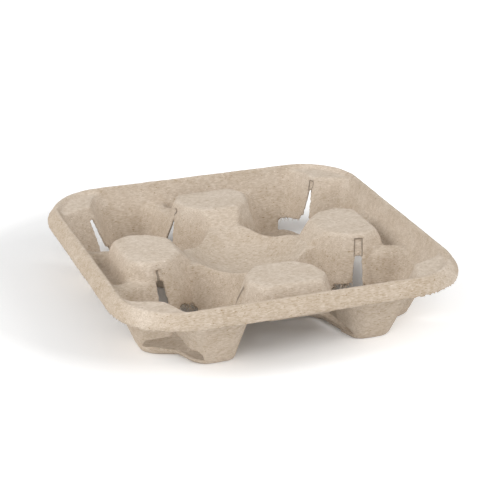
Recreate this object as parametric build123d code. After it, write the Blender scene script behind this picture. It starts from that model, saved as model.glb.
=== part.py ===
from build123d import *
import math
import os

# Four-cup carrier tray, moulded in one piece from grey-brown paper pulp.
# It is one thin skin of even thickness. The skin rises into a rounded rim, a
# hexagonal post at the middle of each side, a kite-shaped ledge in each corner
# and a shallow dish in the centre. Between them it drops into four open cup
# wells, whose slotted walls flex outwards as fingers and stand on the floor.
# Millimetres, +Z up. The origin is on the floor under the centre of the tray.

# Skin and rim. Every rounded corner of the rim turns about the same upright line.
pulp = 2.0
flange_half = 108.0
flange_corner = 41.0
flange_run = 4.6
flange_drop = 6.8
crest_height = 42.8
crest_width = 2.4
crest_skin = 3.0
crest_outer_round = 2.4
crest_inner_round = 1.4
wall_run = 17.4
corner_centre = flange_half - flange_corner
crest_half = flange_half - flange_run
crest_inner_half = crest_half - crest_width
rim_overlap = 1.0

# Flat levels
deck_height = 30.4
post_height = 40.2
ledge_height = 40.4

# Drafts, in millimetres sideways for each millimetre down
post_draft = 0.30
post_back_draft = 0.50
post_front_draft = 1.0
column_draft = 0.41
table_draft = 0.41
bridge_draft = 0.30
wall_draft = wall_run / crest_height
flange_draft = flange_run / flange_drop

# Post outline at its top: half widths across, and lengths from its outer edge inwards
trough_width = 20.6
post_outer_half = 18.6
post_vertex_half = 24.2
post_vertex_length = 10.8
post_flank_half = 21.4
post_flank_length = 23.4
post_inner_half = 12.8
post_length = 32.8
post_outer = crest_inner_half - trough_width
post_vertex_out = post_outer - post_vertex_length
post_flank_out = post_outer - post_flank_length
post_inner = post_outer - post_length
post_corner_round = 4.5
post_top_round = 2.6

# Bridge that carries the trough between a post and the outer wall
bridge_bite = 18.4
bridge_margin = 2.2
bridge_inner = post_outer - bridge_bite
bridge_inner_half = post_flank_half + bridge_margin
bridge_spread = 0.311
bridge_top_round = 7.0
bridge_flare_top = 13.0
bridge_flare_low = 4.0

# Corner ledge and the column under it
ledge_width = 22.6
ledge_vertex = crest_inner_half - ledge_width
ledge_spread = 0.40
column_round = 3.5
column_flare_top = 12.0
column_flare_low = 9.0
ledge_top_round = 1.4

# Centre table with its dish, which starts at the feet of the posts. The waist is the least
# distance from the tray's centre to the mouth of a well, at deck height.
well_from_wall = 48.0
well_centre = crest_inner_half - well_from_wall
table_waist = 31.35
table_arc = math.hypot(well_centre, well_centre) - table_waist
table_round = 2.6
dish_margin = 0.8
dish_radius = post_inner - post_front_draft * (post_height - deck_height) - dish_margin
dish_depth = 9.0

# The flares end between bridge and column, just behind the wall's face
flare_shift = 2.5
flare_end = well_centre - flare_shift
wall_bite = 0.3

# Slots, cut from the middle of each well at the two post vertices and the column vertex.
# A web of flash is left in the top of a slot, from its top down to a height of its own.
slot_inward = 5.1
slot_aside = 2.3
slot_out = post_vertex_out - slot_inward
slot_half_across = post_vertex_half + slot_aside
slot_width = 5.0
slot_spread = 1.4
slot_start = 20.0
slot_reach = 24.0
flash_skin = 0.8
corner_slot_shift = 2.0

# For each slot: top, lower end of the flash, lower end of the slot, and width at the top.
# Wells are named by their place seen from the front, and slots by what they face.
plain_slot = (36.0, 29.5, 11.0, slot_width)
slots = {
    ("left", "back", "back post"): (36.2, 31.0, 11.0, 4.4),
    ("left", "back", "side post"): plain_slot,
    ("left", "back", "corner"): (32.2, 32.2, 9.0, 2.8),
    ("right", "back", "back post"): plain_slot,
    ("right", "back", "side post"): plain_slot,
    ("right", "back", "corner"): (37.6, 31.3, 9.0, 3.6),
    ("left", "front", "front post"): (36.0, 17.0, 14.0, 3.0),
    ("left", "front", "side post"): (35.6, 28.3, 11.0, slot_width),
    ("left", "front", "corner"): (33.0, 20.0, 12.0, 3.0),
    ("right", "front", "front post"): plain_slot,
    ("right", "front", "side post"): (37.0, 26.6, 9.0, slot_width),
    ("right", "front", "corner"): plain_slot,
}

# Torn holes low in the walls, as (distance along, height above the well's floor). The first
# three are measured across the corner diagonal, and the others outwards from a well's middle.
left_front_tear = [
    (-20.4, 1.0), (-16.5, 6.8), (-14.6, 8.3), (-8.9, 9.7), (-2.1, 11.7), (4.2, 15.3), (7.9, 14.9),
    (10.5, 10.0), (13.7, 8.4), (18.7, 7.7), (20.1, 4.9), (20.2, 0.8), (8.0, 0.9), (-3.4, 1.4), (-13.1, 3.2),
]
right_back_tear = [
    (-2.6, 0.9), (-3.4, 4.0), (-1.6, 8.0), (-2.2, 12.5), (5.6, 13.4), (6.9, 10.5), (10.2, 9.3),
    (14.6, 8.9), (21.5, 8.2), (22.6, 6.7), (21.8, 2.0), (22.4, 0.8),
]
left_back_tear = [
    (-6.0, 4.5), (-5.0, 9.0), (-4.0, 13.0), (0.4, 13.5), (1.6, 10.8), (6.6, 10.2), (8.2, 7.4), (6.8, 4.2),
]
left_post_tear = [
    (-13.6, 0.9), (-13.2, 4.2), (-10.2, 6.6), (-6.7, 7.4), (-3.5, 9.7), (-1.0, 10.0), (1.2, 7.0), (0.0, 0.8),
]
right_post_tear = [
    (-6.0, 0.9), (-5.4, 5.0), (-3.7, 7.7), (1.6, 8.0), (6.0, 8.9), (8.3, 7.3), (13.4, 8.2), (15.5, 5.0), (16.0, 0.8),
]
front_post_tear = [
    (-3.0, 0.9), (-1.0, 5.2), (5.0, 6.6), (16.6, 5.4), (20.0, 5.9), (24.3, 4.3), (28.6, 2.8), (30.4, 0.8),
]
corner_tear_start = -1.0
corner_tear_reach = 51.0
side_tear_start = -37.0
side_tear_reach = 30.0

# Both faces of the skin are first made as solid blocks that reach below the floor.
# Their rounded edges are stepped, and a hollow face keeps only the wide roundings.
# An upright corner is made of short flats, none turning further than the widest turn.
widest_turn = math.radians(11)
spare_depth = 12.0
steepest_slope = 0.6
wide_round = 5.0
upper_steps = 2
lower_steps = 1


def edge_drops(radius, draft, steps):
    """Depths of the sections that step a rounded top edge down to its drafted side."""
    turn = math.pi / 2 - math.atan(draft)
    return [radius * (1 - math.cos(turn * step / steps)) for step in range(steps + 1)]


def stand_back(radius, draft, drop):
    """How far a rounded top edge stands back from its drafted side at a depth."""
    turn = math.pi / 2 - math.atan(draft)
    deepest = radius * (1 - math.cos(turn))
    if drop >= deepest:
        return 0.0
    widest = radius * math.sin(turn) - draft * deepest
    return widest + draft * drop - math.sqrt(radius ** 2 - (radius - drop) ** 2)


def edge_sections(radius, draft, inset):
    """Radius and section depths of a rounded edge on one face of the skin."""
    if inset == 0:
        return radius, edge_drops(radius, draft, upper_steps)
    if radius > wide_round:
        return radius - inset, edge_drops(radius - inset, draft, lower_steps)
    return 0.0, [0.0]


def rounded_face(corners, radii):
    """Face inside a closed outline, each corner rounded by its own radius in short flats."""
    corners = [Vector(*corner) for corner in corners]
    points = []
    for index, (corner, radius) in enumerate(zip(corners, radii)):
        if radius == 0:
            points.append(corner)
            continue
        back = (corners[index - 1] - corner).normalized()
        ahead = (corners[(index + 1) % len(corners)] - corner).normalized()
        half_angle = math.radians(back.get_angle(ahead)) / 2
        centre = corner + (back + ahead).normalized() * (radius / math.sin(half_angle))
        spoke = corner + back * (radius / math.tan(half_angle)) - centre
        turn = math.copysign(math.pi - 2 * half_angle, ahead.cross(back).Z)
        flats = math.ceil(abs(turn) / widest_turn)
        for step in range(flats + 1):
            points.append(centre + spoke.rotate(Axis.Z, math.degrees(turn * step / flats)))
    return Face(Wire.make_polygon(points))


def square_stack(levels):
    """Rounded square block through (height, half width) levels, from the lowest up."""
    faces = []
    for height, half in levels:
        faces.append(Pos(0, 0, height) * RectangleRounded(2 * half, 2 * half, half - corner_centre))
    return loft(faces, ruled=True)


def sides_of(points, drafts):
    """Sides of an outline that runs clockwise, each as (outward x, outward y, distance, draft)."""
    sides = []
    for (x0, y0), (x1, y1), draft in zip(points, points[1:] + points[:1], drafts):
        length = math.hypot(x1 - x0, y1 - y0)
        nx, ny = (y0 - y1) / length, (x1 - x0) / length
        sides.append((nx, ny, nx * x0 + ny * y0, draft))
    return sides


def outline_at(sides, edge_radii, drop, inset, knee):
    """Outline that the drafted sides make at a depth. A sloping side turns upright at the knee."""
    moved = []
    for (nx, ny, distance, draft), radius in zip(sides, edge_radii):
        travel = draft * (min(drop, knee) if draft > steepest_slope else drop)
        back = inset * math.hypot(1, draft) + stand_back(radius, draft, drop - inset)
        moved.append((nx, ny, distance + travel - back))
    corners = []
    for (ax, ay, ad), (bx, by, bd) in zip(moved[-1:] + moved[:-1], moved):
        cross = ax * by - ay * bx
        corners.append(((ad * by - bd * ay) / cross, (ax * bd - bx * ad) / cross))
    return corners


def drafted_block(points, drafts, rounds, top, inset, edge_round, rounded, knee=None):
    """Solid with flat drafted sides, from its top less the inset to below the floor.

    Each corner has its radius at the top and below the floor, negative where the corner is
    hollow. The sides whose numbers are in rounded have their top edge rounded.
    """
    sides = sides_of(points, drafts)
    depth = top + spare_depth
    radius, drops = edge_sections(edge_round, drafts[rounded[0]], inset)
    edge_radii = [radius if number in rounded else 0.0 for number in range(len(sides))]
    low_drops = [depth] if knee is None else [depth, knee]
    sections = []
    for drop in low_drops + [inset + drop for drop in reversed(drops)]:
        radii = []
        for round_top, round_low in rounds:
            corner = round_top + (round_low - round_top) * drop / depth
            radii.append(corner_radius(corner, inset))
        face = rounded_face(outline_at(sides, edge_radii, drop, inset, knee or depth), radii)
        sections.append(Pos(0, 0, top - drop) * face)
    return loft(sections, ruled=True)


def corner_radius(radius, inset):
    """Radius of an upright corner on a face inside the skin. A hollow corner widens there."""
    if radius < 0:
        return inset - radius
    return 0.0 if 0 < inset and radius <= wide_round else max(radius - inset, 0.0)


def mirrored(values):
    return [(-x, y) for x, y in reversed(values)]


def round_the_sides(block):
    return [Rot(0, 0, quarter * 90) * block for quarter in range(4)]


def wall_face(height):
    """Distance of the outer wall's inner face from the centre at a height."""
    return crest_inner_half - wall_draft * (crest_height - height)


def rim_block(inset):
    """All that lies outside the leaning outer wall, under the crest and the sloping flange."""
    start = 0.0 if inset == 0 else crest_skin
    height = crest_height - start

    radius, drops = edge_sections(crest_outer_round, flange_draft, inset)
    outside = []
    for drop in [height + spare_depth] + drops[::-1]:
        back = inset * math.hypot(1, flange_draft) + stand_back(radius, flange_draft, drop)
        outside.append((height - drop, crest_half + flange_draft * (start + drop) - back))

    radius, drops = edge_sections(crest_inner_round, wall_draft, inset)
    opening = []
    for drop in [height + spare_depth] + drops[::-1]:
        back = inset * math.hypot(1, wall_draft) + stand_back(radius, wall_draft, drop)
        opening.append((height - drop, wall_face(height - drop) + back))
    return square_stack(outside) - square_stack(opening)


def post_block(inset):
    """Post of the +Y side, with a steep face to the rim and a sloping one to the dish."""
    right = [
        (post_outer_half, post_outer),
        (post_vertex_half, post_vertex_out),
        (post_flank_half, post_flank_out),
        (post_inner_half, post_inner),
    ]
    flanks = [post_draft] * 3
    drafts = flanks + [post_front_draft] + flanks + [post_back_draft]
    outline = right + mirrored(right)
    rounds = [(post_corner_round, post_corner_round)] * len(outline)
    rounded = range(len(outline))
    knee = post_height - deck_height + pulp
    return drafted_block(outline, drafts, rounds, post_height, inset, post_top_round, rounded, knee)


def bridge_block(inset):
    """Bridge of the +Y side. It carries the trough floor and flares out into the outer wall."""
    wall = wall_face(deck_height) + wall_bite
    half_at_wall = bridge_inner_half + bridge_spread * (wall - bridge_inner)
    right = [
        (flare_end, flange_half),
        (flare_end, wall),
        (half_at_wall, wall),
        (bridge_inner_half, bridge_inner),
    ]
    drafts = [0, wall_draft, bridge_draft, 0, bridge_draft, wall_draft, 0, 0]
    flare = (-bridge_flare_top, -bridge_flare_low)
    rounds = [(0, 0), (0, 0), flare, (0, 0), (0, 0), flare, (0, 0), (0, 0)]
    return drafted_block(right + mirrored(right), drafts, rounds, deck_height, inset, bridge_top_round, (2, 4))


def column_block(inset):
    """Column of the +X +Y corner, under its kite-shaped ledge, flared into the outer wall."""
    wall = wall_face(ledge_height) + wall_bite
    in_at_wall = ledge_vertex - ledge_spread * (wall - ledge_vertex)
    side = [(flare_end, flange_half), (flare_end, wall), (in_at_wall, wall)]
    points = [(flange_half, flange_half)] + [(y, x) for x, y in side] + [(ledge_vertex, ledge_vertex)] + side[::-1]
    drafts = [0, 0, wall_draft, column_draft, column_draft, wall_draft, 0, 0]
    flare = (-column_flare_top, -column_flare_low)
    rounds = [(0, 0)] * 3 + [flare, (column_round, column_round), flare] + [(0, 0)] * 2
    return drafted_block(points, drafts, rounds, ledge_height, inset, ledge_top_round, (3, 4))


def table_block(inset):
    """Centre table, with four hollow sides towards the wells and the dish in its top."""
    height = deck_height - inset
    depth = height + spare_depth
    on_top = (Align.CENTER, Align.CENTER, Align.MAX)
    slab = Pos(0, 0, height) * Box(2 * well_centre, 2 * well_centre, depth, align=on_top)

    radius, drops = edge_sections(table_round, table_draft, inset)
    profile = [(0, height)]
    for drop in drops + [depth]:
        mouth = table_arc - table_draft * (inset + drop) + inset * math.hypot(1, table_draft)
        profile.append((mouth + stand_back(radius, table_draft, drop), height - drop))
    profile.append((0, height - depth))
    well = revolve(Plane.XZ * make_face(Polyline(*profile, close=True)), Axis.Z)
    for place in GridLocations(2 * well_centre, 2 * well_centre, 2, 2):
        slab -= place * well
    ball = (dish_radius ** 2 + dish_depth ** 2) / (2 * dish_depth)
    return slab - Pos(0, 0, deck_height + ball - dish_depth) * Sphere(ball + inset)


def well_floor(inset):
    on_top = (Align.CENTER, Align.CENTER, Align.MAX)
    depth = spare_depth + pulp - inset
    return Pos(0, 0, pulp - inset) * Box(2 * flange_half, 2 * flange_half, depth, align=on_top)


def form(inset):
    """Solid under one face of the skin: the upper face, or the lower one at the skin's thickness."""
    features = [well_floor(inset), table_block(inset)]
    for make_block in (post_block, bridge_block, column_block):
        features += round_the_sides(make_block(inset))
    half = crest_half - rim_overlap
    inside = RectangleRounded(2 * half, 2 * half, half - corner_centre)
    inside = Pos(0, 0, -spare_depth) * extrude(inside, crest_height + 2 * spare_depth)
    return ((Part() + features) & inside) + rim_block(inset)


def skin():
    """Everything between the two faces, cut off square at the edge of the flange."""
    trim = RectangleRounded(2 * flange_half, 2 * flange_half, flange_corner)
    trim = Pos(0, 0, -pulp) * extrude(trim, crest_height + 2 * pulp)
    return (form(0.0) - form(pulp)) & trim


def pushed_cut(outline, along, through, origin, length):
    """Cutter from an outline of (distance along, height), pushed through the skin."""
    points = [origin + along * distance + Vector(0, 0, height) for distance, height in outline]
    return extrude(make_face(Polyline(*points, close=True)), amount=length, dir=through)


def slot_cuts():
    """Open slots, and the shallow recesses that leave a web of flash in their tops."""
    post_core = post_block(pulp - flash_skin)
    column_core = column_block(pulp - flash_skin)
    corner_turns = {(1, 1): 0, (-1, 1): 90, (-1, -1): 180, (1, -1): 270}
    cuts = []
    for (across, depthways, facing), (top, flash_low, low, width) in slots.items():
        sign_x = 1 if across == "right" else -1
        sign_y = 1 if depthways == "back" else -1
        centre = Vector(sign_x * well_centre, sign_y * well_centre)
        shift = 0
        if facing == "corner":
            target = centre * 2
            shift = corner_slot_shift
            core = Rot(0, 0, corner_turns[sign_x, sign_y]) * column_core
        elif facing == "side post":
            target = Vector(sign_x * slot_out, sign_y * slot_half_across)
            core = Rot(0, 0, -90 * sign_x) * post_core
        else:
            target = Vector(sign_x * slot_half_across, sign_y * slot_out)
            core = Rot(0, 0, 90 - 90 * sign_y) * post_core
        through = (target - centre).normalized()
        along = Vector(-through.Y, through.X)
        origin = centre + through * slot_start + along * shift
        for z_top, z_low, is_flash in ((top, flash_low, True), (flash_low, low, False)):
            if z_top == z_low:
                continue
            halves = [(width + slot_spread * (top - z) / (top - low)) / 2 for z in (z_low, z_top)]
            outline = [(-halves[0], z_low), (halves[0], z_low), (halves[1], z_top), (-halves[1], z_top)]
            cut = pushed_cut(outline, along, through, origin, slot_reach)
            cuts.append(cut - core if is_flash else cut)
    return cuts


def tears():
    """Cutters for the torn holes that moulding and stacking leave low in the walls."""
    cuts = []
    floor = Vector(0, 0, pulp)
    corners = [((-1, -1), left_front_tear), ((1, 1), right_back_tear), ((-1, 1), left_back_tear)]
    for (sign_x, sign_y), outline in corners:
        centre = Vector(sign_x * well_centre, sign_y * well_centre)
        through = centre.normalized()
        along = Vector(-sign_x, sign_y).normalized()
        origin = centre + through * corner_tear_start + floor
        cuts.append(pushed_cut(outline, along, through, origin, corner_tear_reach))
    sides = [
        ((-1, 0), (0, -1), left_post_tear),
        ((1, 0), (0, -1), right_post_tear),
        ((0, -1), (1, 0), front_post_tear),
    ]
    for outward, across, outline in sides:
        outwards, through = Vector(*outward), Vector(*across)
        origin = outwards * well_centre + through * (well_centre + side_tear_start) + floor
        cuts.append(pushed_cut(outline, outwards, through, origin, side_tear_reach))
    return cuts


if __name__ == "__main__":
    tray = skin() - slot_cuts() - tears()
    print(tray.is_valid, tray.volume, [solid.volume for solid in tray.solids()])
    os.makedirs("parts", exist_ok=True)
    export_step(tray, "parts/carrier_tray.step")
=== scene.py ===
import bpy
import math
import numpy as np
from mathutils import Matrix, Vector, noise as random_field


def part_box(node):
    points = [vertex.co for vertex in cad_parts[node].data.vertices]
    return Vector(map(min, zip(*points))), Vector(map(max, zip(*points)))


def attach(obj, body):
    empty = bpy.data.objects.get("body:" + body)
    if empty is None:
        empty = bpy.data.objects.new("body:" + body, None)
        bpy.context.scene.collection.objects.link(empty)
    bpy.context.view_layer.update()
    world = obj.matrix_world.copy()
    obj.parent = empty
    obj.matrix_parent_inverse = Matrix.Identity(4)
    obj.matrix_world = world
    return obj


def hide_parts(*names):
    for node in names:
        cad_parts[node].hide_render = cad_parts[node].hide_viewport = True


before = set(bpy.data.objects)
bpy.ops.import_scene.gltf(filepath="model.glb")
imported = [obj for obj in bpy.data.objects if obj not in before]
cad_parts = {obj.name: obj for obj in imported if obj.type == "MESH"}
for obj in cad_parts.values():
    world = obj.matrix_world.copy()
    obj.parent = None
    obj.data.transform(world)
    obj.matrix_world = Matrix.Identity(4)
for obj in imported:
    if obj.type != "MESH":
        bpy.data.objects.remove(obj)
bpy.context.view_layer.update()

# The tray is one skin of paper pulp, sucked from a slurry onto a mould and dried. No edge of
# it is sharp, because the wet fibres round off every bend, and its faces are a little uneven.
FELT_STEP = 0.0007
EDGE_PASSES, EDGE_SOFTNESS = 3, 0.5
RIPPLE_SPACING, RIPPLE_HEIGHT = 0.009, 0.00040
LUMP_SPACING, LUMP_HEIGHT = 0.0024, 0.00020
MOST_TRIANGLES = 190_000


def add_modifier(piece, kind, **settings):
    modifier = piece.modifiers.new(kind.title(), kind)
    for name, value in settings.items():
        setattr(modifier, name, value)
    return modifier


def add_unevenness(piece, name, spacing, height):
    """Push the faces in and out alike, by up to half the height."""
    clouds = bpy.data.textures.new(name, "CLOUDS")
    clouds.noise_scale = spacing
    clouds.noise_depth = 1
    add_modifier(piece, "DISPLACE", texture=clouds, texture_coords="GLOBAL", strength=height, mid_level=0.5)


def settle(piece):
    """Turn the modifiers into the piece's own mesh."""
    shape = piece.evaluated_get(bpy.context.evaluated_depsgraph_get())
    piece.data = bpy.data.meshes.new_from_object(shape)
    piece.modifiers.clear()


def places_of(mesh):
    places = np.empty(len(mesh.vertices) * 3)
    mesh.vertices.foreach_get("co", places)
    return places.reshape(-1, 3)


def put_places(mesh, places):
    mesh.vertices.foreach_set("co", places.ravel())
    mesh.update()


def keep_in_box(mesh, box):
    """Press back what the unevenness has pushed past the real size."""
    lowest, highest = (np.array(corner) for corner in box)
    put_places(mesh, np.clip(places_of(mesh), lowest, highest))


def ease(values, start, end):
    """0 up to the start, 1 from the end on, and a soft curve between them."""
    part = np.clip((values - start) / (end - start), 0.0, 1.0)
    return part * part * (3 - 2 * part)


tray = bpy.data.objects.new("pulp_tray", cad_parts["carrier_tray"].data.copy())
bpy.context.scene.collection.objects.link(tray)
add_modifier(tray, "REMESH", mode="VOXEL", voxel_size=FELT_STEP, use_smooth_shade=True)
settle(tray)

# The trough behind each post is pressed down into a short groove, and the dish in the centre
# has steep sides and a flat bottom. The posts' tops and the rim keep their height.
GROOVE_DEPTH = 0.0054
GROOVE_FROM_CENTRE = 0.0892
GROOVE_HALF_WIDTH, GROOVE_HALF_LENGTH = 0.0072, 0.0260
EVEN_SHARE = 0.7
BOWL_DEPTH = 0.0026
BOWL_FOOT, BOWL_EDGE = 0.0235, 0.0370
# Heights over which the sinking of a groove sets in, and those over which it ends
SINK_FROM, SINK_UNTIL = (0.012, 0.024), (0.0345, 0.0385)


def sink_skin(places):
    """Sink the dish, and the grooves, which are at their deepest over the even share of their length."""
    x, y, z = places.T
    between = ease(z, *SINK_FROM) * (1 - ease(z, *SINK_UNTIL))
    sunk = np.zeros(len(places))
    for outward, across in ((np.abs(x), np.abs(y)), (np.abs(y), np.abs(x))):
        width = 1 - ease(np.abs(outward - GROOVE_FROM_CENTRE), 0.0, GROOVE_HALF_WIDTH)
        length = 1 - ease(across, EVEN_SHARE * GROOVE_HALF_LENGTH, GROOVE_HALF_LENGTH)
        sunk += GROOVE_DEPTH * width * length
    bowl = BOWL_DEPTH * (1 - ease(np.hypot(x, y), BOWL_FOOT, BOWL_EDGE))
    places[:, 2] -= sunk * between + bowl


# Slots part the walls of each well into fingers that give way to a cup. A slot narrows to its
# top, where a web of flash is left, and its wet edges dry in a wavering line.
WELL_CENTRE = 0.0530
SLOT_OUT, SLOT_ACROSS = 0.0645, 0.0265
SLOT_NEAR, SLOT_FAR = 0.018, 0.046
CORNER_SLOT_SHIFT = 0.002
FRONT, BACK, LEFT, RIGHT = -1, 1, -1, 1
# For each slot: lower end, top, half widths as made at both, and half widths as dried
TAPERED_SLOTS = {
    (LEFT, BACK, "middle post"): (0.011, 0.0310, 0.0029, 0.0024, 0.0048, 0.0002),
    (LEFT, BACK, "corner"): (0.009, 0.0322, 0.0021, 0.0014, 0.0032, 0.0013),
    (RIGHT, BACK, "corner"): (0.009, 0.0313, 0.0025, 0.0020, 0.0031, 0.0009),
    (LEFT, FRONT, "side post"): (0.011, 0.0283, 0.0032, 0.0028, 0.0034, 0.0025),
    (RIGHT, FRONT, "side post"): (0.009, 0.0266, 0.0032, 0.0028, 0.0034, 0.0022),
}
# How far to each side of a slot, under it and over it the skin moves with its edges
SLOT_PULL, PULL_UNDER, PULL_OVER = 0.0065, 0.003, 0.002
NARROWEST_SLOT = 0.0001
SLOT_WAVER, WAVERS_PER_METRE = 0.0006, 420
OTHER_EDGE, OTHER_SLOT = 5.0, 900


def slot_frame(side, depth, facing):
    """Middle of the slot's well, and the directions through the slot and across it."""
    middle = Vector((side * WELL_CENTRE, depth * WELL_CENTRE, 0))
    targets = {
        "corner": middle * 2,
        "side post": Vector((side * SLOT_OUT, depth * SLOT_ACROSS, 0)),
        "middle post": Vector((side * SLOT_ACROSS, depth * SLOT_OUT, 0)),
    }
    through = (targets[facing] - middle).normalized()
    across = Vector((-through.y, through.x, 0))
    shift = CORNER_SLOT_SHIFT if facing == "corner" else 0.0
    return middle + across * shift, through, across


def slot_waver(heights, sides, low):
    """A wavering line up a slot, another on each of its edges and in each slot."""
    spots = [(z * WAVERS_PER_METRE, side * OTHER_EDGE, low * OTHER_SLOT) for z, side in zip(heights, sides)]
    return SLOT_WAVER * np.array([random_field.noise(spot) for spot in spots])


def draw_slots_in(places):
    for slot, (low, top, made_low, made_top, dried_low, dried_top) in TAPERED_SLOTS.items():
        middle, through, across = (np.array(vector) for vector in slot_frame(*slot))
        along = (places - middle) @ across
        reach = (places - middle) @ through
        z = places[:, 2]
        near = (reach > SLOT_NEAR) & (reach < SLOT_FAR) & (np.abs(along) < SLOT_PULL)
        near &= (z > low - PULL_UNDER) & (z < top + PULL_OVER)
        height = np.clip((z[near] - low) / (top - low), 0, 1)
        made = made_low + (made_top - made_low) * height
        dried = dried_low + (dried_top - dried_low) * height
        side = np.sign(along[near])
        dried = np.maximum(dried + slot_waver(z[near], side, low), NARROWEST_SLOT)
        distance = np.abs(along[near])
        beyond = np.maximum(distance - made, 0) / (SLOT_PULL - made)
        moved = dried + beyond * (SLOT_PULL - dried)
        places[near] += np.outer(side * (moved - np.maximum(distance, made)), across)


# The flange's lower edge is left as it comes from the mould. It is fuzzy and a little nicked,
# most of all at the front right corner.
EDGE_FROM, EDGE_HEIGHT = 0.104, 0.0385
RIM_CORNER_CENTRE = 0.067
EDGE_NICKS, NICK_FADE = 0.0008, 0.0025
# Within reach of this corner each nick is deeper, at the corner itself by this share more
NICKED_CORNER, NICKED_REACH, MORE_NICKED = (0.092, -0.098), 0.055, 1.2
# Each kind of raggedness: how fine it is, and its own layer of the noise
NICKS_PER_METRE, NICK_LAYER = 230, 3.0
FUZZ_PER_METRE, FUZZ_LAYER, FUZZ_SHARE = 600, 8.0, 0.4


def raggedness(place, per_metre, layer):
    return random_field.noise((place[0] * per_metre, place[1] * per_metre, layer))


def tear_edge(places):
    """Raise the flange's lower edge in nicks, which fade out up the flange."""
    x, y, z = places.T
    past_x, past_y = (np.maximum(np.abs(side) - RIM_CORNER_CENTRE, 0) for side in (x, y))
    outward = np.hypot(past_x, past_y) + RIM_CORNER_CENTRE
    for index in np.flatnonzero((outward > EDGE_FROM) & (z < EDGE_HEIGHT)):
        place = places[index]
        level = (EDGE_HEIGHT - place[2]) / NICK_FADE
        worn = math.hypot(place[0] - NICKED_CORNER[0], place[1] - NICKED_CORNER[1]) / NICKED_REACH
        depth = EDGE_NICKS * (1 + MORE_NICKED * max(0.0, 1 - worn))
        tooth = raggedness(place, NICKS_PER_METRE, NICK_LAYER)
        tooth += FUZZ_SHARE * raggedness(place, FUZZ_PER_METRE, FUZZ_LAYER)
        places[index, 2] += depth * max(0.0, tooth) * min(level, 1.0)


places = places_of(tray.data)
sink_skin(places)
draw_slots_in(places)
tear_edge(places)
put_places(tray.data, places)
add_modifier(tray, "SMOOTH", factor=EDGE_SOFTNESS, iterations=EDGE_PASSES)
add_unevenness(tray, "ripples", RIPPLE_SPACING, RIPPLE_HEIGHT)
add_unevenness(tray, "lumps", LUMP_SPACING, LUMP_HEIGHT)
settle(tray)
triangles = sum(len(face.vertices) - 2 for face in tray.data.polygons)
add_modifier(tray, "DECIMATE", ratio=min(1.0, MOST_TRIANGLES / triangles))
settle(tray)
tray.data.shade_smooth()
keep_in_box(tray.data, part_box("carrier_tray"))

# Recycled pulp dries to a warm grey-brown felt. Fibres a few millimetres long lie in it
# in every direction, with paler and darker flecks of the paper that it was made from. Painted
# light and shade: the high faces are painted paler, and the deep ones and the flange darker.
PULP = (0.556, 0.469, 0.379)
PULP_ROUGHNESS, PULP_GLOSS = 0.93, 0.18
# Changes of lightness, which are added to all three colours alike
PALE, DARK = 0.052, -0.052
BLOTCH, GRAIN = 0.026, 0.034
FLECK, PALE_FLECK = -0.17, 0.13
# Painted light and shade added to the lightness: paler high faces, darker deep faces, darker flange
PAINTED_TOP_LIGHT, PAINTED_DEEP_SHADE, PAINTED_FLANGE_SHADE = 0.020, -0.030, -0.032
DISH_LEVEL, POST_LEVEL = 0.024, 0.0395
RIM_STARTS, FLANGE_STARTS = (0.097, 0.101), (0.1025, 0.1040)
# Fibres: how long and wide, the ways they lie, and the part of their noise that shows
FIBRE_LENGTH, FIBRE_WIDTH = 0.0026, 0.0006
FIBRE_TURNS = [(0.3, 0.1, 0.2), (0.9, 0.5, 1.3), (1.7, 1.1, 2.4), (2.5, 0.7, 0.8)]
FIBRE_BAND = (0.43, 0.57)
BLOTCH_SIZE, BLOTCH_BAND = 0.016, (0.30, 0.70)
GRAIN_SIZE, GRAIN_BAND = 0.0028, (0.32, 0.68)
# Flecks: how long, how many times longer than wide, their turn, and the part that shows
DARK_FLECKS = (0.0018, 2.4, (0.4, 1.2, 0.7), (0.690, 0.725))
PALE_FLECKS = (0.0021, 2.8, (2.0, 0.3, 1.6), (0.690, 0.730))
# Relief: its whole height, and what fibres, grain and creases give to it
RELIEF_HEIGHT = 0.00016
FIBRE_RELIEF, GRAIN_RELIEF, CREASE_RELIEF = 0.6, 0.4, -2.0
# Creases and the crack are painted dark brown as painted shade in their gaps, and also sunk in the relief
CREASE_SHADE_BROWN, CREASE_SHADE_STRENGTH = (0.150, 0.122, 0.098), 0.62
CREASE_HALF, CREASE_SOFT = 0.00018, 0.00024
CREASE_WAVER, WAVER_SIZE, TOP_WAVER = 0.0009, 0.004, 0.5
# Lengths over which a crease fades: at its foot, at its top, and at the ends of its top line
FOOT_FADE, TOP_FADE, TOP_LINE_FADE = 0.001, 0.0006, 0.0004
# Creases where the web of flash meets the wall: distance from the slot's middle, lower end, top
CREASES = {
    (RIGHT, FRONT, "side post"): (0.0024, 0.0262, 0.0372),
    (RIGHT, BACK, "corner"): (0.0014, 0.0305, 0.0378),
    (LEFT, FRONT, "side post"): (0.0004, 0.0275, 0.0352),
    (LEFT, BACK, "middle post"): (0.0003, 0.0300, 0.0362),
}
# A crack that runs down the left flank of the front post: its ends, edge and fading length
CRACK = (Vector((-0.0241, -0.0632, 0.0352)), Vector((-0.0272, -0.0520, 0.0165)))
CRACK_EDGE, CRACK_FADE = (0.0008, 0.0014), 0.002


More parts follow.
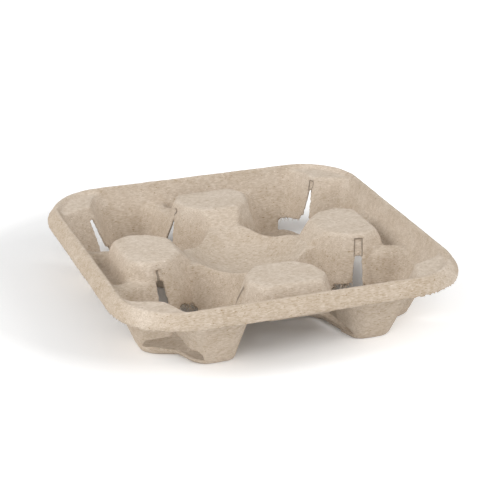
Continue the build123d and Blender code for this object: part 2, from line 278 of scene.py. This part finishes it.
class Shade:
    """One output of a material's nodes. Arithmetic on it adds Math nodes."""

    def __init__(self, tree, socket=None):
        self.tree = tree
        self.socket = socket

    def node(self, kind, settings=None, inputs=None, output=0):
        """Add a node. Its settings are set first, then the values or links of its sockets."""
        node = self.tree.nodes.new("ShaderNode" + kind)
        for name, value in (settings or {}).items():
            if name == "stops":
                first, last = node.color_ramp.elements
                (first.position, first.color), (last.position, last.color) = value
            else:
                setattr(node, name, value)
        for name, value in (inputs or {}).items():
            if isinstance(value, Shade):
                self.tree.links.new(value.socket, node.inputs[name])
            else:
                node.inputs[name].default_value = value
        return Shade(self.tree, node.outputs[output])

    def maths(self, operation, first, second):
        return self.node("Math", {"operation": operation}, {0: first, 1: second})

    def __add__(self, other):
        return self.maths("ADD", self, other)

    def __sub__(self, other):
        return self.maths("SUBTRACT", self, other)

    def __rsub__(self, other):
        return self.maths("SUBTRACT", other, self)

    def __mul__(self, other):
        return self.maths("MULTIPLY", self, other)

    __radd__ = __add__
    __rmul__ = __mul__


def new_material(name):
    """An empty material, its nodes' maker, and its shader."""
    material = bpy.data.materials.new(name)
    material.use_nodes = True
    shader = material.node_tree.nodes["Principled BSDF"]
    return material, Shade(material.node_tree), shader


def opaque(colour):
    return (*colour, 1.0)


def band(shade, low, high):
    """0 under the low value and 1 over the high one, with an even slope between."""
    stops = [(low, (0, 0, 0, 1)), (high, (1, 1, 1, 1))]
    return shade.node("ValToRGB", {"stops": stops}, {"Fac": shade})


def step(shade, low, high):
    """A soft step from 0 to 1, for lengths, which are far below 1."""
    settings = {"interpolation_type": "SMOOTHSTEP"}
    return shade.node("MapRange", settings, {"Value": shade, "From Min": low, "From Max": high})


def distance_from(shade, value):
    return shade.node("Math", {"operation": "ABSOLUTE"}, {0: shade - value})


def distance_along(place, direction):
    """How far a place lies in a direction."""
    return place.node("VectorMath", {"operation": "DOT_PRODUCT"}, {0: place, 1: direction}, "Value")


def blend_colours(amount, first, second):
    """The Mix node's sockets go by number here, because those for colours share their names."""
    colours = {6: first, 7: second, 0: amount}
    return amount.node("Mix", {"data_type": "RGBA"}, colours, output=2)


def flash_creases(place, up, waver):
    """Lines on both sides of each web of flash and over it, on the wall that it sits in."""
    creases = 0.0
    for slot, (offset, low, top) in CREASES.items():
        middle, through, across = slot_frame(*slot)
        side = distance_along(place, across) - middle.dot(across)
        reach = distance_along(place, through) - middle.dot(through)
        from_line = distance_from(distance_from(side + waver, 0.0), offset)
        line = 1 - step(from_line, CREASE_HALF, CREASE_HALF + CREASE_SOFT)
        line = line * (step(up + waver, low, low + FOOT_FADE) * (1 - step(up + waver, top - TOP_FADE, top)))
        from_top = distance_from(up + waver * TOP_WAVER, top)
        top_line = 1 - step(from_top, CREASE_HALF, CREASE_HALF + CREASE_SOFT)
        top_line = top_line * (1 - step(distance_from(side, 0.0), offset, offset + TOP_LINE_FADE))
        here = step(reach, SLOT_NEAR, SLOT_NEAR + FOOT_FADE)
        here = here * (1 - step(reach, SLOT_FAR - FOOT_FADE, SLOT_FAR))
        creases = line.maths("MAXIMUM", line, top_line) * here + creases
    return creases


def post_crack(place, waver):
    top_end, low_end = CRACK
    length = (low_end - top_end).length
    run = (low_end - top_end).normalized()
    from_top = place.node("VectorMath", {"operation": "SUBTRACT"}, {0: place, 1: top_end})
    beside = place.node("VectorMath", {"operation": "CROSS_PRODUCT"}, {0: from_top, 1: run})
    beside = place.node("VectorMath", {"operation": "LENGTH"}, {0: beside}, "Value")
    down = distance_along(from_top, run)
    crack = 1 - step(beside + waver, *CRACK_EDGE)
    return crack * step(down, 0.0, CRACK_FADE) * (1 - step(down, length - CRACK_FADE, length))


def make_pulp():
    material, maker, shader = new_material("moulded_pulp_felt")
    place = maker.node("TexCoord", output="Object")

    def noise(size, detail, stretch=(1, 1, 1), turn=(0, 0, 0)):
        spot = maker.node("Mapping", {}, {"Vector": place, "Scale": stretch, "Rotation": turn})
        return maker.node("TexNoise", {}, {"Vector": spot, "Scale": 1 / size, "Detail": detail})

    def scattered(size, slimness, turn, shown):
        return band(noise(size, 1, (1, slimness, slimness), turn), *shown)

    slimness = FIBRE_LENGTH / FIBRE_WIDTH
    layers = (noise(FIBRE_LENGTH, 2, (1, slimness, slimness), turn) for turn in FIBRE_TURNS)
    fibres = sum(layers, 0.0) * (1 / len(FIBRE_TURNS))
    blotches, grain = noise(BLOTCH_SIZE, 3), noise(GRAIN_SIZE, 2)
    across, depthways, up = (maker.node("SeparateXYZ", {}, {"Vector": place}, axis) for axis in range(3))
    outward = maker.maths("MAXIMUM", distance_from(across, 0.0), distance_from(depthways, 0.0))
    # Share of painted top light over painted deep shade: none at the dish, all at the posts' tops, none at
    # the rim
    top_light_share = step(up, DISH_LEVEL, POST_LEVEL) * (1 - step(outward, *RIM_STARTS))

    lightness = band(blotches, *BLOTCH_BAND) * (2 * BLOTCH) - BLOTCH
    lightness = lightness + band(grain, *GRAIN_BAND) * (2 * GRAIN) - GRAIN
    lightness = lightness + band(fibres, *FIBRE_BAND) * (PALE - DARK) + DARK
    lightness = lightness + top_light_share * (PAINTED_TOP_LIGHT - PAINTED_DEEP_SHADE) + PAINTED_DEEP_SHADE
    # Painted shade: the flange is darkened in colour
    lightness = lightness + step(outward, *FLANGE_STARTS) * PAINTED_FLANGE_SHADE
    lightness = lightness + scattered(*DARK_FLECKS) * FLECK + scattered(*PALE_FLECKS) * PALE_FLECK
    grey = maker.node("CombineXYZ", {}, {"X": lightness, "Y": lightness, "Z": lightness})
    colour = maker.node("VectorMath", {"operation": "ADD"}, {0: grey, 1: PULP})

    waver = noise(WAVER_SIZE, 2) * CREASE_WAVER - CREASE_WAVER / 2
    creases = flash_creases(place, up, waver)
    creases = maker.maths("MINIMUM", creases + post_crack(place, waver), 1.0)
    # Painted shade: the creases and the crack are darkened towards a dark brown
    colour = blend_colours(creases * CREASE_SHADE_STRENGTH, colour, opaque(CREASE_SHADE_BROWN))
    maker.tree.links.new(colour.socket, shader.inputs["Base Color"])

    height = fibres * FIBRE_RELIEF + grain * GRAIN_RELIEF + creases * CREASE_RELIEF
    bump = maker.node("Bump", {}, {"Height": height, "Distance": RELIEF_HEIGHT, "Strength": 1.0})
    maker.tree.links.new(bump.socket, shader.inputs["Normal"])
    shader.inputs["Roughness"].default_value = PULP_ROUGHNESS
    shader.inputs["Specular IOR Level"].default_value = PULP_GLOSS
    return material


pulp_felt = make_pulp()
tray.data.materials.clear()
tray.data.materials.append(pulp_felt)
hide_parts("carrier_tray")
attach(tray, "root")

# Where the wall was torn, loose fibres of the same pulp stand out of the broken edge. Most
# hang from the upper edge of a hole, and some bridge its narrow end.
WALL_STARTS = 0.012
TEAR_FLOOR = 0.002
# Torn holes: the well, the direction through its wall and the one across, how far the fibres
# hang rather than lie across, their length and number, and places along the torn edge
TORN_EDGES = [
    ((LEFT, FRONT), (-1, -1), (1, -1), 1.0, 0.0028, 34, [
        (-0.0165, 0.0068), (-0.0089, 0.0097), (-0.0021, 0.0117), (0.0042, 0.0153),
        (0.0079, 0.0149), (0.0105, 0.0100), (0.0137, 0.0084), (0.0187, 0.0077)]),
    ((RIGHT, BACK), (1, 1), (-1, 1), 1.0, 0.0020, 22, [
        (-0.0022, 0.0125), (0.0056, 0.0134), (0.0069, 0.0105),
        (0.0102, 0.0093), (0.0146, 0.0089), (0.0215, 0.0082)]),
    ((LEFT, BACK), (-1, 1), (1, 1), 1.0, 0.0020, 12, [
        (-0.0050, 0.0090), (-0.0040, 0.0130), (0.0004, 0.0135), (0.0066, 0.0102)]),
    ((LEFT, FRONT), (0, 1), (-1, 0), 0.5, 0.0060, 70, [
        (-0.0132, 0.0042), (-0.0102, 0.0066), (-0.0067, 0.0074),
        (-0.0035, 0.0097), (-0.0010, 0.0100), (0.0012, 0.0070)]),
    ((RIGHT, FRONT), (0, 1), (1, 0), 0.5, 0.0060, 90, [
        (-0.0054, 0.0050), (-0.0037, 0.0077), (0.0016, 0.0080), (0.0060, 0.0089),
        (0.0083, 0.0073), (0.0134, 0.0082), (0.0155, 0.0050)]),
]
FIBRE_SEED = 5
SHRED_WIDTH, SHRED_STEPS = 0.00055, 4
# The least share of its length and of its width that a shred has. Chance adds up to 1 to each.
SHORTEST, SLIMMEST = 0.4, 0.6
# How far a shred leans along the torn edge and out of the wall, by chance
LEAN_ASIDE, LEAN_OUT = 0.7, 0.25
# A shred's curl: how many half widths it swings, its turn in radians, and the range of its start
CURL_WIDTHS, CURL_TURN, CURL_STARTS = 1.4, 2.2, 6
TIP_TAPER = 0.8
# How near the wall has to be for a shred to grow there, and how deep its root sits in it
WALL_NEAR, ROOT_DEPTH = 0.002, 0.0006
LOWEST_SHRED = 0.0004


def shred(root, lean, length, width, phase):
    """A ribbon of fibres that narrows from its root and curls as it dries."""
    across = lean.cross(Vector((0, 0, 1))).normalized() * width / 2
    points = []
    for number in range(SHRED_STEPS + 1):
        part = number / SHRED_STEPS
        curl = across * CURL_WIDTHS * math.sin(CURL_TURN * part + phase)
        middle = root + lean * length * part + curl
        edge = across * (1 - TIP_TAPER * part)
        points += [middle - edge, middle + edge]
    return points


def make_shreds():
    corners, faces = [], []
    surface = places_of(tray.data)
    chance = np.random.default_rng(FIBRE_SEED)
    for well, outward, sideways, hang, length, amount, edge in TORN_EDGES:
        out, side = Vector((*outward, 0)).normalized(), Vector((*sideways, 0)).normalized()
        middle = Vector((well[0] * WELL_CENTRE, well[1] * WELL_CENTRE, 0))
        wall = surface[(surface - np.array(middle)) @ np.array(out) > WALL_STARTS]
        sideways_of = (wall - np.array(middle)) @ np.array(side)
        for _ in range(amount):
            number = int(chance.integers(len(edge) - 1))
            part = chance.random()
            (u0, z0), (u1, z1) = edge[number], edge[number + 1]
            u, z = u0 + (u1 - u0) * part, z0 + (z1 - z0) * part + TEAR_FLOOR
            away = np.hypot(sideways_of - u, wall[:, 2] - z)
            nearest = int(np.argmin(away))
            if away[nearest] > WALL_NEAR:
                continue
            lean = Vector((0, 0, -hang))
            lean = lean + side * chance.normal(0, LEAN_ASIDE) + out * chance.normal(0, LEAN_OUT)
            lean.normalize()
            root = Vector(wall[nearest]) - lean * ROOT_DEPTH
            own_length = length * (SHORTEST + chance.random())
            own_width = SHRED_WIDTH * (SLIMMEST + chance.random())
            points = shred(root, lean, own_length, own_width, CURL_STARTS * chance.random())
            for first in range(len(corners), len(corners) + 2 * SHRED_STEPS, 2):
                faces.append((first, first + 1, first + 3, first + 2))
            corners += [(x, y, max(z, LOWEST_SHRED)) for x, y, z in points]
    mesh = bpy.data.meshes.new("torn_fibres")
    mesh.from_pydata(corners, [], faces)
    mesh.materials.append(pulp_felt)
    return bpy.data.objects.new("torn_fibres", mesh)


shreds = make_shreds()
bpy.context.scene.collection.objects.link(shreds)
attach(shreds, "root")

# The tray stands on a wide white studio floor. The camera sees the floor a little brighter
# than it lights the tray, and white away from the tray's shadow, which it keeps.
FLOOR_HALF, FLOOR_LEVEL = 6.0, -0.0002
FLOOR_WHITE = (0.92, 0.92, 0.92)
SEEN_WHITE = (0.94, 0.94, 0.94)
SEEN_GLOW = 0.34
SHADOW_CENTRE = (-0.040, 0.050, 0.0)
SHADOW_REACH, WHITE_REACH = 0.125, 0.185


def seen_rays(maker):
    """1 where the camera looks, straight or through gloss and glass, and 0 for other rays."""
    rays = ("Is Camera Ray", "Is Glossy Ray", "Is Transmission Ray")
    return maker.maths("MINIMUM", sum((maker.node("LightPath", output=ray) for ray in rays), 0.0), 1.0)


floor_mesh = bpy.data.meshes.new("floor")
corners = [(x * FLOOR_HALF, y * FLOOR_HALF, FLOOR_LEVEL) for x, y in ((-1, -1), (1, -1), (1, 1), (-1, 1))]
floor_mesh.from_pydata(corners, [], [(0, 1, 2, 3)])
floor = bpy.data.objects.new("studio_floor", floor_mesh)
bpy.context.scene.collection.objects.link(floor)
white, maker, shader = new_material("studio_white")
seen = seen_rays(maker)
floor_colour = blend_colours(seen, opaque(FLOOR_WHITE), opaque(SEEN_WHITE))
place = maker.node("TexCoord", output="Object")
away = maker.node("VectorMath", {"operation": "DISTANCE"}, {0: place, 1: SHADOW_CENTRE}, "Value")
glow = seen * band(away, SHADOW_REACH, WHITE_REACH) * SEEN_GLOW
maker.tree.links.new(floor_colour.socket, shader.inputs["Base Color"])
maker.tree.links.new(glow.socket, shader.inputs["Emission Color"])
shader.inputs["Emission Strength"].default_value = 1.0
shader.inputs["Roughness"].default_value = 1.0
shader.inputs["Specular IOR Level"].default_value = 0.0
floor_mesh.materials.append(white)

# Large soft lamps stand at the left and at the front right of a white light tent, with two
# weaker ones in front. The tent's walls fill the shadows.
LAMPS = [
    ("left_lamp", (-1.30, 0.0, 1.00), 11.5),
    ("front_right_lamp", (1.0, -1.0, 0.90), 9.0),
    ("front_left_lamp", (-1.0, -1.0, 0.90), 4.0),
    ("low_front_lamp", (-0.30, -1.60, 0.35), 4.0),
]
LAMP_WIDTH = 0.90
TENT_WHITE, TENT_LEVEL = (1.0, 1.0, 1.0), 0.54

for name, place, watts in LAMPS:
    lamp = bpy.data.lights.new(name, "AREA")
    lamp.shape = "DISK"
    lamp.size = LAMP_WIDTH
    lamp.energy = watts
    lamp_object = bpy.data.objects.new(name, lamp)
    lamp_object.location = place
    lamp_object.rotation_euler = Vector(place).to_track_quat("Z", "Y").to_euler()
    bpy.context.scene.collection.objects.link(lamp_object)

tent = bpy.data.worlds.new("light_tent")
tent.use_nodes = True
maker = Shade(tent.node_tree)
background = tent.node_tree.nodes["Background"]
background.inputs["Color"].default_value = opaque(TENT_WHITE)
strength = TENT_LEVEL + (1 - TENT_LEVEL) * seen_rays(maker)
tent.node_tree.links.new(strength.socket, background.inputs["Strength"])
bpy.context.scene.world = tent

# The camera stands a metre away, in front and a little to the left, and looks down on the
# tray through a long lens.
CAMERA_PLACE = (-0.3345, -0.8985, 0.4321)
CAMERA_AZIMUTH, CAMERA_ELEVATION, CAMERA_ROLL = -20.61, 23.36, 0.27
LENS, SENSOR = 120.26, 36.0
SHIFT_X, SHIFT_Y = -0.002, 0.034

azimuth, elevation, roll = (math.radians(angle) for angle in (CAMERA_AZIMUTH, CAMERA_ELEVATION, CAMERA_ROLL))
backwards = Vector((
    math.sin(azimuth) * math.cos(elevation),
    -math.cos(azimuth) * math.cos(elevation),
    math.sin(elevation),
))
level = Vector((math.cos(azimuth), math.sin(azimuth), 0))
upright = backwards.cross(level)
rightwards = math.cos(roll) * level + math.sin(roll) * upright
upwards = math.cos(roll) * upright - math.sin(roll) * level
camera = bpy.data.cameras.new("camera")
camera.lens, camera.sensor_width = LENS, SENSOR
camera.shift_x, camera.shift_y = SHIFT_X, SHIFT_Y
camera_object = bpy.data.objects.new("camera", camera)
turn = Matrix((rightwards, upwards, backwards)).transposed().to_4x4()
camera_object.matrix_world = Matrix.Translation(CAMERA_PLACE) @ turn
bpy.context.scene.collection.objects.link(camera_object)
bpy.context.scene.camera = camera_object
bpy.context.scene.view_settings.view_transform = "Standard"
